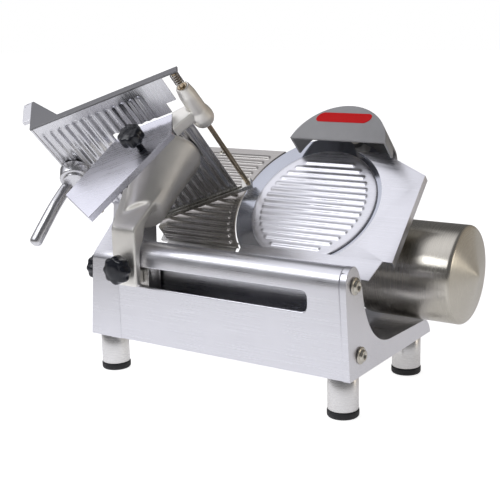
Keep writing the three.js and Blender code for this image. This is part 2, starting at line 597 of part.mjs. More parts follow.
function buildCarriage() {
  const rodAt = [0, CARRIAGE_ROD.y, CARRIAGE_ROD.z];
  const block = cut(
    join(
      box(-430, -370, -18, 15, 88, CARRIAGE_ROD.z),
      pin('x', BUSHING_RADIUS + 2.3, -430, -370, rodAt, 24),
    ),
    pin('x', BUSHING_RADIUS + GAP, -440, -360, rodAt, 24),
    box(-440, -360, GUIDE_ROD.y - 9, GUIDE_ROD.y + 20, GUIDE_ROD.z - 9, GUIDE_ROD.z + 9),
    box(-415, -385, -4, 30, 118, 190),
  );
  add(machine, 'carriage_block', block, castAluminium());
  const inner = CARRIAGE_ROD.radius + GAP;
  add(machine, 'carriage_bushing', sleeve('x', inner, BUSHING_RADIUS, -430, -370, rodAt, 24), bronze());

  buildArm();

  const knob = join(
    starKnob(25.5, 24).rotateX(Math.PI / 2).translate(ARM_KNOB.x, ARM.front - 8, ARM_KNOB.z),
    pin('y', 8, ARM.front - 10, ARM.front - GAP, [ARM_KNOB.x, 0, ARM_KNOB.z], 16),
  );
  add(machine, 'arm_knob', knob, blackPlastic());

  const floor = new THREE.Shape();
  floor.moveTo(-215, TRAY.low);
  floor.lineTo(TRAY.right, TRAY.low);
  floor.lineTo(TRAY.right, 208);
  floor.lineTo(-150, 208);
  floor.lineTo(-150, 240);
  floor.lineTo(-35, 240);
  floor.lineTo(-35, 262);
  floor.lineTo(TRAY.right, 262);
  floor.lineTo(TRAY.right, TRAY.high);
  floor.lineTo(-TRAY.width, TRAY.high);
  floor.lineTo(-TRAY.width, 200);
  const lift = (shape, from, to) => slab(shape, from, to).rotateX(Math.PI / 2).scale(1, -1, 1);
  const pan = lift(floor, 0, TRAY.thickness);
  const upperWall = box(-TRAY.width - 4, -TRAY.width, 0, TRAY.wall, 198, TRAY.high);
  const lowerWall = lift(outline([[-219, TRAY.low], [-215, TRAY.low], [-TRAY.width, 200],
    [-TRAY.width - 4, 200]]), 0, TRAY.wall);
  const lipStrip = box(-TRAY.width - 16, -TRAY.width - 2, TRAY.wall - 4, TRAY.wall, 200, TRAY.high);
  const flange = box(-TRAY.width - 20, -TRAY.width - 3, 24, TRAY.wall, TRAY.high - 8, TRAY.high);
  const rim = slab(outline([[-TRAY.width - 4, 0], [14, 0], [14, 11], [-212, 11], [-TRAY.width, TRAY.wall],
    [-TRAY.width - 4, TRAY.wall]]), TRAY.high - 4, TRAY.high);
  add(tray, 'tray', join(pan, upperWall, lowerWall, lipStrip, flange, rim), brushedAluminium());

  const strip = box(-214, -6, -9, -GAP, TRAY.low, TRAY.low + 9);
  const rodEnd = cut(box(-6.2, 12, -9, 10, TRAY.low, TRAY.low + 10),
    pin('z', ROD.radius + GAP, TRAY.low + 2, TRAY.low + 20, [ROD.x, ROD.y, 0], 12));
  add(tray, 'tray_lower_bar', join(strip, rodEnd), stainless());
  const onRod = [ROD.x, ROD.y, 0];
  add(tray, 'pusher_rod', pin('z', ROD.radius, ROD.low + GAP, TRAY.high - 4 - GAP, onRod, 16), bronze());
  add(tray, 'bumper_spring', sleeve('z', ROD.radius + GAP, 8.5, 288, 313, onRod, 16), castIron());

  const path = new THREE.CatmullRomCurve3([
    new THREE.Vector3(-531, -30, 338), new THREE.Vector3(-531, -52, 320), new THREE.Vector3(-534, -70, 300),
    new THREE.Vector3(-541, -90, 270), new THREE.Vector3(-549, -108, 240),
  ]);
  const grip = new THREE.Shape();
  grip.absarc(0, 0, LEVER_RADIUS, 0, Math.PI * 2);
  const lever = new THREE.ExtrudeGeometry(grip, { steps: 16, curveSegments: 8, extrudePath: path });
  const lug = reframe(join(
    pin('y', 26, -24, -GAP, [-251, 0, 197], 28),
    pin('y', 20, -30, -20, [-255, 0, 197], 28),
  ), tray, machine);
  add(machine, 'carriage_handle', join(lever, lug), polishedSteel());
}

// ---- pusher, parked under the tray floor ----
function buildPusher() {
  const at = [ROD.x, ROD.y, 0];
  add(tray, 'pusher_bushing', sleeve('z', ROD.radius + GAP, 8, 188, 282, at, 20), bronze());
  const body = turned('z', [
    [8 + GAP, 190], [15, 190], [19, 197], [19.8, 206], [18.5, 215], [16, 224], [15, 262], [12, 282],
    [8 + GAP, 282], [8 + GAP, 190],
  ], at, 28);
  const neck = slab(outline([
    [-2, -12], [-4, 12], [-14, 12], [-24, 8], [-44, 5], [-44, -36], [-30, -27], [-14, -19],
  ]), 212, 234);
  const casting = cut(join(body, neck.translate(...at)), pin('z', 8 + GAP, 180, 290, at, 20));
  add(tray, 'pusher_sleeve', casting, castAluminium());
  const blank = outline([
    [-44.5, 6], [-151, 6], [-153, -6], [-161, -10], [-252, -90], [-205, -161], [-47.5, -39],
  ]);
  const plate = slab(blank, PUSHER_PLATE.low, PUSHER_PLATE.high).translate(...at);
  add(tray, 'pusher_plate', plate, brushedAluminium());
  const knobAt = [-106, -49];
  const knob = join(
    starKnob(22, 24).translate(...knobAt, PUSHER_PLATE.high + 22),
    pin('z', 7, PUSHER_PLATE.high + GAP, PUSHER_PLATE.high + 24, [...knobAt, 0], 16),
  );
  add(tray, 'pusher_knob', knob.translate(...at), blackPlastic());
}

buildBase();
buildControls();
buildKnife();
buildKnifeHousing();
buildCradle();
buildMotor();
buildGauge();
buildSharpener();
buildCarriage();
buildPusher();

// The origin is the middle of the machine's footprint, on the surface it stands on.
const slicer = new THREE.Group();
slicer.add(machine);
slicer.updateMatrixWorld(true);
const extent = new THREE.Box3().setFromObject(machine, true);
const middle = extent.getCenter(new THREE.Vector3());
machine.position.set(-middle.x, -middle.y, -extent.min.z);

export default slicer;
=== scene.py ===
# Studio scene of a gravity-feed deli meat slicer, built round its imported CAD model.
# Lengths in the shape functions are millimetres in a piece's own frame; everything else is metres.
import json
import math

import bmesh
import bpy
from mathutils import Matrix, Vector


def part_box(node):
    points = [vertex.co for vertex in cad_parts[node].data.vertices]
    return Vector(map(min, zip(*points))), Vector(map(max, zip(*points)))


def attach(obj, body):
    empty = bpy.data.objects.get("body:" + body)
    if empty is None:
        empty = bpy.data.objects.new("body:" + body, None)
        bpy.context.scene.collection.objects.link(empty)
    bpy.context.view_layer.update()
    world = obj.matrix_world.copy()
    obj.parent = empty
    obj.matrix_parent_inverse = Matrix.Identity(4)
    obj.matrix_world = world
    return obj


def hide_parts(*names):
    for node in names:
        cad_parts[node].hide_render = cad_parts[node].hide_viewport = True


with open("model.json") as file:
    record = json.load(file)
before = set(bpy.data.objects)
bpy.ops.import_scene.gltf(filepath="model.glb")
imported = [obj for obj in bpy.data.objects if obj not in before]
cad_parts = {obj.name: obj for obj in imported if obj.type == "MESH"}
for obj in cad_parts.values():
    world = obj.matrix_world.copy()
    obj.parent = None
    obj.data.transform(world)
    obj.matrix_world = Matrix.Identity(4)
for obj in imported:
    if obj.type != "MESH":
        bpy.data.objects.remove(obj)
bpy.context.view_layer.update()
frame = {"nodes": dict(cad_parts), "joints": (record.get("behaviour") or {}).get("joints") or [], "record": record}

MM = 0.001
JOINTS = {joint["name"]: joint for joint in frame["joints"]}
BODY_OF = {n: body for body, nodes in frame["record"]["behaviour"]["bodies"].items() for n in nodes}
SLOT_OF = {part["node"]: part["material_slot"] for part in frame["record"]["subparts"]}


# ---- frames: a rigid matrix for each group of pieces ----
def axes(origin, x_axis, z_axis):
    x, z = Vector(x_axis).normalized(), Vector(z_axis).normalized()
    y = z.cross(x)
    turn = Matrix((x, y, z)).transposed().to_4x4()
    return Matrix.Translation(Vector(origin)) @ turn


def centre(node):
    low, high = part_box(node)
    return (low + high) / 2


KNIFE = axes(JOINTS["knife_spin"]["pos_m"], (1, 0, 0), JOINTS["knife_spin"]["axis"])
TRAY_TURN = math.radians(29)
TRAY = KNIFE @ Matrix.Translation((-0.145, 0.020, 0)) @ Matrix.Rotation(TRAY_TURN, 4, "Z")
FOOT = centre("foot_front_right")
MACHINE = Matrix.Translation((FOOT.x, FOOT.y, 0))
MOTOR = axes(JOINTS["rotor_spin"]["pos_m"], (0, 1, 0), (1, 0, 0))

# ---- driving sizes, in millimetres ----
KNIFE_RADIUS = 150
COVER_RADIUS = 118.5
COVER_RIB_REACH = 103
RIB_PITCH = 12.7
GAUGE_ARC = 153
MOTOR_RADIUS = 85.4
ROD = (4.6, 3)
TRAY_RIB_PITCH = 15

# ---- node materials ----
RING_GRAIN = 1500.0


def node(tree, kind, values=None, **settings):
    made = tree.nodes.new(kind)
    for key, value in settings.items():
        setattr(made, key, value)
    for key, value in (values or {}).items():
        made.inputs[key].default_value = value
    return made


def coordinates(tree, stretch, turn=None):
    """Object coordinates, in metres, seen in a turned frame and multiplied by stretch."""
    place = node(tree, "ShaderNodeTexCoord").outputs["Object"]
    if turn:
        upright = node(tree, "ShaderNodeMapping", {"Rotation": turn.to_3x3().inverted().to_euler()})
        tree.links.new(place, upright.inputs["Vector"])
        place = upright.outputs["Vector"]
    scaled = node(tree, "ShaderNodeMapping", {"Scale": stretch})
    tree.links.new(place, scaled.inputs["Vector"])
    return scaled.outputs["Vector"]


def circular(tree, grain):
    """Coordinates that change with the distance from local Z and slowly round it."""
    place = node(tree, "ShaderNodeTexCoord")
    flat = node(tree, "ShaderNodeVectorMath", {1: (1, 1, 0)}, operation="MULTIPLY")
    radius = node(tree, "ShaderNodeVectorMath", operation="LENGTH")
    parts = node(tree, "ShaderNodeSeparateXYZ")
    joined = node(tree, "ShaderNodeCombineXYZ")
    scaled = node(tree, "ShaderNodeMapping", {"Scale": (grain, grain, 3)})
    tree.links.new(place.outputs["Object"], flat.inputs[0])
    tree.links.new(flat.outputs["Vector"], radius.inputs[0])
    tree.links.new(place.outputs["Object"], parts.inputs[0])
    tree.links.new(radius.outputs["Value"], joined.inputs["X"])
    tree.links.new(parts.outputs["Z"], joined.inputs["Y"])
    tree.links.new(parts.outputs["X"], joined.inputs["Z"])
    tree.links.new(joined.outputs[0], scaled.inputs["Vector"])
    return scaled.outputs["Vector"]


def noise(tree, vector, scale=1.0, detail=3.0):
    made = node(tree, "ShaderNodeTexNoise", {"Scale": scale, "Detail": detail, "Roughness": 0.55})
    tree.links.new(vector, made.inputs["Vector"])
    return made.outputs["Fac"]


def spread(tree, fac, low, high, inner=(0.3, 0.7)):
    made = node(tree, "ShaderNodeMapRange", {"From Min": inner[0], "From Max": inner[1],
                                             "To Min": low, "To Max": high})
    tree.links.new(fac, made.inputs["Value"])
    return made.outputs["Result"]


def tinted(colour, factor):
    return (*(min(1.0, c * factor) for c in colour), 1.0)


def finish_material(name, colour, roughness, metallic, grain, vary=0.05, bump=0.05, depth=0.0001,
                    patches=14.0, **sockets):
    """A surface whose grain drives its roughness and bump, with broad soft patches in its colour."""
    made = bpy.data.materials.new(name)
    made.use_nodes = True
    tree = made.node_tree
    surface = tree.nodes["Principled BSDF"]
    surface.inputs["Metallic"].default_value = metallic
    for key, value in sockets.items():
        surface.inputs[key.replace("_", " ")].default_value = value
    fine = noise(tree, grain(tree))
    broad = noise(tree, coordinates(tree, (1, 1, 1)), patches, 2.0)
    mixed = node(tree, "ShaderNodeMix", data_type="RGBA")
    mixed.inputs["A"].default_value = tinted(colour, 1 - vary)
    mixed.inputs["B"].default_value = tinted(colour, 1 + vary)
    tree.links.new(spread(tree, broad, 0, 1), mixed.inputs["Factor"])
    tree.links.new(mixed.outputs["Result"], surface.inputs["Base Color"])
    rough_fine = spread(tree, fine, roughness * 0.8, roughness * 1.2)
    rough_broad = spread(tree, broad, -0.03, 0.03)
    total = node(tree, "ShaderNodeMath", operation="ADD")
    tree.links.new(rough_fine, total.inputs[0])
    tree.links.new(rough_broad, total.inputs[1])
    tree.links.new(total.outputs[0], surface.inputs["Roughness"])
    raised = node(tree, "ShaderNodeBump", {"Strength": bump, "Distance": depth})
    tree.links.new(fine, raised.inputs["Height"])
    tree.links.new(raised.outputs["Normal"], surface.inputs["Normal"])
    return made


def brushed(name, colour, roughness, along="x", turn=None, **extra):
    stretch = {"x": (9, 900, 900), "y": (900, 9, 900), "z": (900, 900, 9)}[along]
    return finish_material(name, colour, roughness, 1.0, lambda tree: coordinates(tree, stretch, turn),
                           **extra)


def cast(name, colour, roughness, **extra):
    return finish_material(name, colour, roughness, 1.0, lambda tree: coordinates(tree, (420, 420, 420)),
                           bump=0.07, depth=0.0002, patches=26, **extra)


def spun(name, colour, roughness, turn, **extra):
    """Turned metal: rings round local Z, which stretch a highlight across themselves."""
    made = finish_material(name, colour, roughness, 1.0, lambda tree: circular(tree, RING_GRAIN),
                           Anisotropic=turn, Anisotropic_Rotation=0.25, **extra)
    tree = made.node_tree
    tangent = node(tree, "ShaderNodeTangent", direction_type="RADIAL", axis="Z")
    tree.links.new(tangent.outputs[0], tree.nodes["Principled BSDF"].inputs["Tangent"])
    return made


def moulded(name, colour, roughness, **extra):
    return finish_material(name, colour, roughness, 0.0, lambda tree: coordinates(tree, (900, 900, 900)),
                           bump=0.08, **extra)


SILVER = (0.80, 0.80, 0.84)
MATERIALS = {
    "cast_aluminium": cast("cast_aluminium", (0.74, 0.73, 0.71), 0.33),
    "brushed_aluminium": brushed("brushed_aluminium", SILVER, 0.31),
    "stainless": brushed("stainless", (0.66, 0.65, 0.61), 0.27),
    "polished_steel": brushed("polished_steel", (0.66, 0.67, 0.70), 0.15, bump=0.03),
    "grey_paint": moulded("grey_paint", (0.44, 0.44, 0.445), 0.45, patches=30),
    "black_plastic": moulded("black_plastic", (0.010, 0.012, 0.018), 0.20),
    "black_rubber": moulded("black_rubber", (0.020, 0.020, 0.022), 0.60),
    "bronze": brushed("bronze", (0.56, 0.46, 0.33), 0.24, along="z"),
    "cast_iron": cast("cast_iron", (0.16, 0.16, 0.17), 0.5),
    "zinc_steel": brushed("zinc_steel", (0.60, 0.57, 0.50), 0.24),
    "stone": moulded("stone", (0.50, 0.47, 0.41), 0.9),
    "green_plastic": moulded("green_plastic", (0.03, 0.24, 0.06), 0.3),
    "red_plastic": moulded("red_plastic", (0.62, 0.015, 0.02), 0.3),
}
SPUN_STAINLESS = spun("spun_stainless", (0.64, 0.61, 0.54), 0.26, turn=0.8, vary=0.03)
SPUN_ALUMINIUM = spun("spun_aluminium", (0.78, 0.77, 0.76), 0.28, turn=0.3)
GROUND_STEEL = spun("ground_steel", (0.52, 0.54, 0.60), 0.17, turn=0.5, bump=0.03)
# Painted shade: the gauge plate's sheet is darker than the other metal, standing in for the shade and dark
# reflections it gets under the tray and arm.
GAUGE_SHEET_PAINTED_SHADE = brushed("gauge_sheet_painted_shade", (0.46, 0.44, 0.42), 0.27)
TRAY_SHEET = brushed("tray_sheet", (0.74, 0.74, 0.76), 0.27, along="z", turn=TRAY)
SATIN_CAST = brushed("satin_cast", SILVER, 0.31, bump=0.02, vary=0.03)
SATIN_BAR = brushed("satin_bar", (0.70, 0.70, 0.72), 0.26, along="z", bump=0.03)
PUSHER_SHEET = brushed("pusher_sheet", (0.78, 0.78, 0.85), 0.28, along="x", turn=TRAY)
TRAY_TRIM = brushed("tray_trim", (0.20, 0.20, 0.205), 0.34, along="x", turn=TRAY)
SPRING_STEEL = brushed("spring_steel", (0.42, 0.40, 0.38), 0.2, along="z", turn=TRAY)
NYLON = moulded("nylon", (0.74, 0.68, 0.52), 0.45)
LABEL_RED = moulded("label_red", (0.82, 0.006, 0.008), 0.35, Specular_IOR_Level=0.12)
# Pale cast metal, made lighter than the other castings: partly its own colour and partly a painted sheen standing
# in for the bright sky its faces mirror.
ARM_CAST_AND_PAINTED_SHEEN = cast("arm_cast", (0.93, 0.91, 0.86), 0.44)


# ---- surfaces ----
SHARP = math.radians(32)


def round_edges(obj, width, segments=3, limit="ANGLE"):
    bevel = obj.modifiers.new("edges", "BEVEL")
    bevel.width = width * MM
    bevel.segments = segments
    bevel.limit_method = limit
    bevel.angle_limit = SHARP
    bevel.harden_normals = True
    bevel.miter_outer = "MITER_ARC"


def smooth(obj):
    for polygon in obj.data.polygons:
        polygon.use_smooth = True


def keep(name, width):
    """A CAD node that stays, with its joined faces, rounded edges and its slot's material."""
    obj = frame["nodes"][name]
    smooth(obj)
    weld = obj.modifiers.new("joined", "WELD")
    weld.merge_threshold = 0.00001
    flat = obj.modifiers.new("flat", "DECIMATE")
    flat.decimate_type = "DISSOLVE"
    flat.angle_limit = math.radians(0.6)
    round_edges(obj, width, 2)
    obj.data.materials.clear()
    obj.data.materials.append(MATERIALS[SLOT_OF[name]])


def piece(name, solid, place, material, on, replaces=True, edge=0.0, local=False):
    """A new piece from millimetre points and faces, riding with CAD node `on`.
    Its mesh lies in the row's frame, or stays in its own where its material needs that."""
    points, faces = solid
    mesh = bpy.data.meshes.new(name)
    mesh.from_pydata([Vector(point) * MM for point in points], [], faces)
    if not local:
        mesh.transform(place)
    shape = bmesh.new()
    shape.from_mesh(mesh)
    bmesh.ops.recalc_face_normals(shape, faces=shape.faces)
    shape.to_mesh(mesh)
    shape.free()
    obj = bpy.data.objects.new(name, mesh)
    bpy.context.scene.collection.objects.link(obj)
    if local:
        obj.matrix_world = place
    mesh.materials.append(material)
    smooth(obj)
    if edge:
        round_edges(obj, edge)
    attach(obj, BODY_OF[on])
    if replaces:
        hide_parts(on)
    return obj


# ---- solids: each gives (points, faces) ----
def loft(rings):
    """Skin through rings of equal length, capped at both ends."""
    count = len(rings[0])
    points = [point for ring in rings for point in ring]
    faces = []
    for a in range(len(rings) - 1):
        for i in range(count):
            j = (i + 1) % count
            faces.append((a * count + i, a * count + j, (a + 1) * count + j, (a + 1) * count + i))
    faces.append(tuple(reversed(range(count))))
    faces.append(tuple(range((len(rings) - 1) * count, len(rings) * count)))
    return points, faces


def circle(radius, z, count=96, x=0, y=0):
    steps = [2 * math.pi * i / count for i in range(count)]
    return [(x + radius * math.cos(t), y + radius * math.sin(t), z) for t in steps]


def lathe(profile, count=96, x=0, y=0):
    return loft([circle(radius, z, count, x, y) for radius, z in profile])


def prism(outline, low, high):
    return loft([[(x, y, low) for x, y in outline], [(x, y, high) for x, y in outline]])


def arc(radius, start, end, count, x=0, y=0):
    steps = [start + (end - start) * i / count for i in range(count + 1)]
    return [(x + radius * math.cos(t), y + radius * math.sin(t)) for t in steps]


def combined(*solids):
    points, faces = [], []
    for more_points, more_faces in solids:
        base = len(points)
        points.extend(more_points)
        faces.extend(tuple(base + i for i in face) for face in more_faces)
    return points, faces


def sheet(x_range, y_range, step, top, bottom):
    """A closed sheet over a grid, between the heights top(x, y) and bottom(x, y)."""
    def stops(low, high, size):
        count = max(1, round((high - low) / size))
        return [low + (high - low) * i / count for i in range(count + 1)]
    xs, ys = stops(*x_range, step[0]), stops(*y_range, step[1])
    wide = len(ys)
    points = [(x, y, top(x, y)) for x in xs for y in ys] + [(x, y, bottom(x, y)) for x in xs for y in ys]
    under = len(xs) * wide
    faces = []
    for i in range(len(xs) - 1):
        for j in range(wide - 1):
            a = i * wide + j
            faces.append((a, a + wide, a + wide + 1, a + 1))
            faces.append((under + a, under + a + 1, under + a + wide + 1, under + a + wide))
    edge = [i * wide for i in range(len(xs))] + [under - wide + j for j in range(1, wide)]
    edge += [i * wide + wide - 1 for i in range(len(xs) - 2, -1, -1)] + list(range(wide - 2, 0, -1))
    for a, b in zip(edge, edge[1:] + edge[:1]):
        faces.append((a, b, under + b, under + a))
    return points, faces


def trimmed(obj, place, outline, low, high):
    """Keeps only the part of a sheet inside an outline."""
    cutter = bpy.data.objects.new("trim", bpy.data.meshes.new("trim"))
    points, faces = prism(outline, low, high)
    cutter.data.from_pydata([Vector(point) * MM for point in points], [], faces)
    shape = bmesh.new()
    shape.from_mesh(cutter.data)
    bmesh.ops.recalc_face_normals(shape, faces=shape.faces)
    shape.to_mesh(cutter.data)
    shape.free()
    bpy.context.scene.collection.objects.link(cutter)
    cutter.matrix_world = place
    trim = obj.modifiers.new("trim", "BOOLEAN")
    trim.operation = "INTERSECT"
    trim.solver = "EXACT"
    trim.object = cutter
    bpy.context.view_layer.update()
    done = bpy.data.meshes.new_from_object(obj.evaluated_get(bpy.context.evaluated_depsgraph_get()))
    obj.modifiers.clear()
    obj.data = done
    bpy.data.objects.remove(cutter)
    obj.data.set_sharp_from_angle(angle=math.radians(40))
    return obj


def capsule_rib(along, across, reach, half_width, height):
    """Height of a pressed rib with round ends; reach is how far its ends are along it."""
    middle = (reach[0] + reach[1]) / 2
    straight = (reach[1] - reach[0]) / 2 - half_width
    past = max(0.0, abs(along - middle) - straight)
    distance = math.hypot(past, across)
    if distance >= half_width:
        return 0.0
    return height * math.cos(math.pi * distance / (2 * half_width)) ** 2


# ---- knife, its cover and the plates round it ----
def build_knife():
    bore, tip = 24.4, KNIFE_RADIUS
    ring = [(bore, -5), (138, -5), (tip - 0.6, -0.9), (tip, -0.35), (tip - 0.8, -0.1), (tip - 2.4, -0.35),
            (tip - 4, -0.7), (134, -1.5), (122, -1.7), (116, -1.2), (112, -1), (bore, -1)]
    piece("knife_blade", lathe(ring, 180), KNIFE, GROUND_STEEL, "blade", local=True)

    def face(x, y):
        level = round(y / RIB_PITCH)
        if abs(level) > 7:
            return 0.0
        reach = math.sqrt(COVER_RIB_REACH ** 2 - (level * RIB_PITCH) ** 2)
        return capsule_rib(x, y - level * RIB_PITCH, (-reach, reach), 5.6, 2.2)

    rim = [(COVER_RADIUS - 4, -0.6), (COVER_RADIUS, -0.8), (COVER_RADIUS, 0.4), (COVER_RADIUS - 0.6, 1.0),
           (COVER_RADIUS - 2.5, 1.7), (COVER_RADIUS - 6, 2.1)]
    rings = [circle(radius, z, 300) for radius, z in [(4, -0.6), *rim]]
    for radius in [COVER_RADIUS - 8 - 1.5 * i for i in range(73)]:
        rings.append([(x, y, 2.2 + face(x, y)) for x, y, _ in circle(radius, 0, 300)])
    piece("ribbed_knife_cover", loft(rings), KNIFE, MATERIALS["brushed_aluminium"], "knife_cover")


def build_gauge():
    low, high, left, count = -105, 112, -305, 16

    def face(x, y):
        level = round(y / RIB_PITCH - 0.5) + 0.5
        if abs(level) > (count - 1) / 2:
            return 0.0
        right = -math.sqrt(GAUGE_ARC ** 2 - (level * RIB_PITCH) ** 2) - 9
        return capsule_rib(x, y - level * RIB_PITCH, (left + 12, right), 5.4, 2.4)

    start = math.pi + math.asin(-low / GAUGE_ARC)
    end = math.pi - math.asin(high / GAUGE_ARC)
    outline = [(left, low + 23), (left + 32, low), *arc(GAUGE_ARC, start, end, 60), (left + 26, high),
               (left, high - 8)]
    ribbed = sheet((left - 2, -90), (low - 2, high + 2), (2.0, 1.0), face, lambda x, y: -4)
    plate = piece("ribbed_gauge_plate", ribbed, KNIFE, GAUGE_SHEET_PAINTED_SHADE, "gauge_plate")
    trimmed(plate, KNIFE, outline, -9, 9)
    screw_head("gauge_screw", KNIFE @ Matrix.Translation((-0.243, 0.099, 0)), 5.0, "gauge_plate")


# ---- small hardware ----
def hexagon(radius, z, count):
    points = []
    for i in range(count):
        t = 2 * math.pi * i / count
        sector = (t % (math.pi / 3)) - math.pi / 6
        reach = radius * math.cos(math.pi / 6) / math.cos(sector)
        points.append((reach * math.cos(t), reach * math.sin(t), z))
    return points


def screw_head(name, place, radius, on):
    """A domed socket screw, standing along local Z."""
    count = 48
    rings = [circle(radius, 0, count), circle(radius, radius * 0.25, count),
             circle(radius * 0.9, radius * 0.45, count), circle(radius * 0.65, radius * 0.6, count),
             hexagon(radius * 0.45, radius * 0.62, count), hexagon(radius * 0.43, radius * 0.2, count)]
    piece(name, loft(rings), place, MATERIALS["zinc_steel"], on, replaces=False, edge=0.12)


def build_end_screws():
    for name in ("upper_end_screw", "lower_end_screw"):
        low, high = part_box(name)
        place = axes((low.x, (low.y + high.y) / 2, (low.z + high.z) / 2), (0, 1, 0), (1, 0, 0))
        count = 60
        turned = [(14, 0), (14, 1.4), (13.4, 2.0), (10.4, 2.3), (9.6, 2.6), (9.4, 5.4), (8.6, 6.6),
                  (7.0, 6.95)]
        rings = [circle(radius, z, count) for radius, z in turned]
        rings += [hexagon(5.2, 6.95, count), hexagon(5.0, 3.0, count)]
        piece(name + "_head", loft(rings), place, MATERIALS["zinc_steel"], name)


def star_rings(radius, height, lobes, base):
    """Rings of a moulded star knob: rounded shoulders, shallow flutes and a raised flat centre."""
    count = lobes * 20
    profile = [(0.62, 0.0), (0.84, 0.02), (0.95, 0.10), (1.0, 0.26), (1.0, 0.60), (0.97, 0.76),
               (0.90, 0.88), (0.80, 0.94), (0.66, 0.97), (0.52, 0.985), (0.50, 1.0), (0.20, 1.0)]
    rings = []
    for share, rise in profile:
        flute = 0.055 * max(0.0, min(1.0, (share - 0.5) / 0.35))
        ring = []
        for i in range(count):
            t = 2 * math.pi * i / count
            reach = radius * share * (1 - flute + flute * math.cos(lobes * t))
            ring.append((reach * math.cos(t), reach * math.sin(t), base + height * rise))
        rings.append(ring)
    return rings


def build_knobs():
    black = MATERIALS["black_plastic"]
    middle, back = centre("arm_knob"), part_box("arm_knob")[1].y
    arm = axes((middle.x, back, middle.z), (1, 0, 0), (0, -1, 0))
    stem = lathe([(8, 0), (8, 8.6), (11, 8.6), (11, 10)], 40)
    piece("arm_star_knob", combined(loft(star_rings(25.5, 24, 8, 8)), stem), arm, black, "arm_knob")

    low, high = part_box("index_knob")
    index = axes((high.x, centre("index_knob").y, centre("index_knob").z), (0, 1, 0), (-1, 0, 0))
    height = (high.x - low.x) / MM
    piece("index_star_knob", loft(star_rings(24, height, 8, 0)), index, black, "index_knob")

    place = TRAY @ Matrix.Translation(((ROD[0] - 106) * MM, (ROD[1] - 49) * MM, 0.23035))
    stem = lathe([(7, 0), (7, 22), (10, 22.4), (10, 24)], 40)
    knob = loft(star_rings(22, 24, 8, 21.6))
    piece("pusher_star_knob", combined(knob, stem), place, black, "pusher_knob")

    shaft = lathe([(5, -172), (5, -1)], 32)
    knob = loft(star_rings(17, 14, 5, -180))
    piece("cover_lock_star_knob", combined(knob, shaft), KNIFE, black, "cover_lock_knob")


# ---- feet ----
def build_feet():
    for name in ("foot_front_right", "foot_front_left", "foot_back_right", "foot_back_left"):
        low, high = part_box(name)
        top = (high.z - low.z) / MM
        middle = centre(name)
        place = Matrix.Translation((middle.x, middle.y, low.z))
        column = [(23, 12.2), (24.6, 12.4), (25, 13), (25, top - 0.8), (24.4, top)]
        piece(name + "_column", lathe(column), place, SPUN_ALUMINIUM, name, local=True)
        pad = [(22.6, 0), (24.6, 0.5), (25.7, 2), (26, 4), (26, 10.6), (25.6, 11.6), (24.8, 12)]
        piece(name + "_pad", lathe(pad), place, MATERIALS["black_rubber"], name, replaces=False)


# ---- motor ----
def build_motor():
    low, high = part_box("motor_shell")
    left = (low.x - MOTOR.translation.x) / MM
    tip = (high.x - MOTOR.translation.x) / MM
    rim = tip - 19
    radius = MOTOR_RADIUS
    profile = [(radius - 3, left), (radius - 0.6, left), (radius, left + 0.6), (radius, rim - 7)]
    profile += [(radius - 7 + 7 * math.cos(t), rim - 7 + 7 * math.sin(t)) for t in
                [math.radians(a) for a in range(10, 80, 10)]]
    profile += [(radius - 8, rim + 0.6), (radius - 30, rim + 6.6), (radius - 60, rim + 13), (8, tip - 1.4),
                (2, tip)]
    piece("spun_motor_shell", lathe(profile, 144), MOTOR, SPUN_STAINLESS, "motor_shell",
          local=True)


# ---- sharpener ----
def build_label():
    """A plain red label on the sharpener's cover."""
    length, height, lean = 108, 21, 0.3
    ends = height / 2
    outline = arc(ends, math.pi / 2, 3 * math.pi / 2, 16, -length / 2 + ends)
    outline += arc(ends, -math.pi / 2, math.pi / 2, 16, length / 2 - ends)
    leaning = [(x + lean * y, y) for x, y in outline]
    place = KNIFE @ Matrix.Translation((0.0205, 0.157, 0.0500))
    piece("cover_label", prism(leaning, 0.0, 0.5), place, LABEL_RED, "sharpener_cover", replaces=False,
          edge=0.15)


# ---- castings ----
def seamed_casting(name, seams, width):
    """A casting with rounded edges, except on the planes x = seam where it meets its neighbour."""
    obj = bpy.data.objects.new(name + "_skin", frame["nodes"][name].data.copy())
    bpy.context.scene.collection.objects.link(obj)
    shape = bmesh.new()
    shape.from_mesh(obj.data)
    bmesh.ops.remove_doubles(shape, verts=shape.verts, dist=0.00001)
    bmesh.ops.dissolve_limit(shape, angle_limit=math.radians(0.6), verts=shape.verts, edges=shape.edges)
    weight = shape.edges.layers.float.new("bevel_weight_edge")
    for edge in shape.edges:
        joint = any(all(abs(vert.co.x - seam) < 0.0005 for vert in edge.verts) for seam in seams)
        if edge.is_manifold and not joint and edge.calc_face_angle() > SHARP:
            edge[weight] = 1
    shape.to_mesh(obj.data)
    shape.free()
    smooth(obj)
    round_edges(obj, width, 5, limit="WEIGHT")
    obj.data.set_sharp_from_angle(angle=SHARP)
    obj.data.materials.clear()
    obj.data.materials.append(SATIN_CAST)
    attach(obj, BODY_OF[name])
    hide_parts(name)


def build_castings():
    low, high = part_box("base_casting")
    seamed_casting("base_casting", (low.x, high.x), 2.4)
    seamed_casting("left_end_casting", (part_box("left_end_casting")[1].x,), 2.4)
    seamed_casting("right_end_plate", (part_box("right_end_plate")[0].x,), 6.5)


def soft_casting(name, source, voxel, passes):
    """A casting with the fillets of a sand mould, from the outer form of its CAD solid."""
    obj = bpy.data.objects.new(name, frame["nodes"][source].data.copy())
    bpy.context.scene.collection.objects.link(obj)
    remesh = obj.modifiers.new("skin", "REMESH")
    remesh.mode = "VOXEL"
    remesh.voxel_size = voxel * MM
    remesh.use_smooth_shade = True
    ease = obj.modifiers.new("fillets", "SMOOTH")
    ease.factor = 0.5
    ease.iterations = passes
    obj.data.materials.clear()
    # The lightened arm metal, with its painted sheen.
    obj.data.materials.append(ARM_CAST_AND_PAINTED_SHEEN)
    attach(obj, BODY_OF[source])
    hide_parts(source)


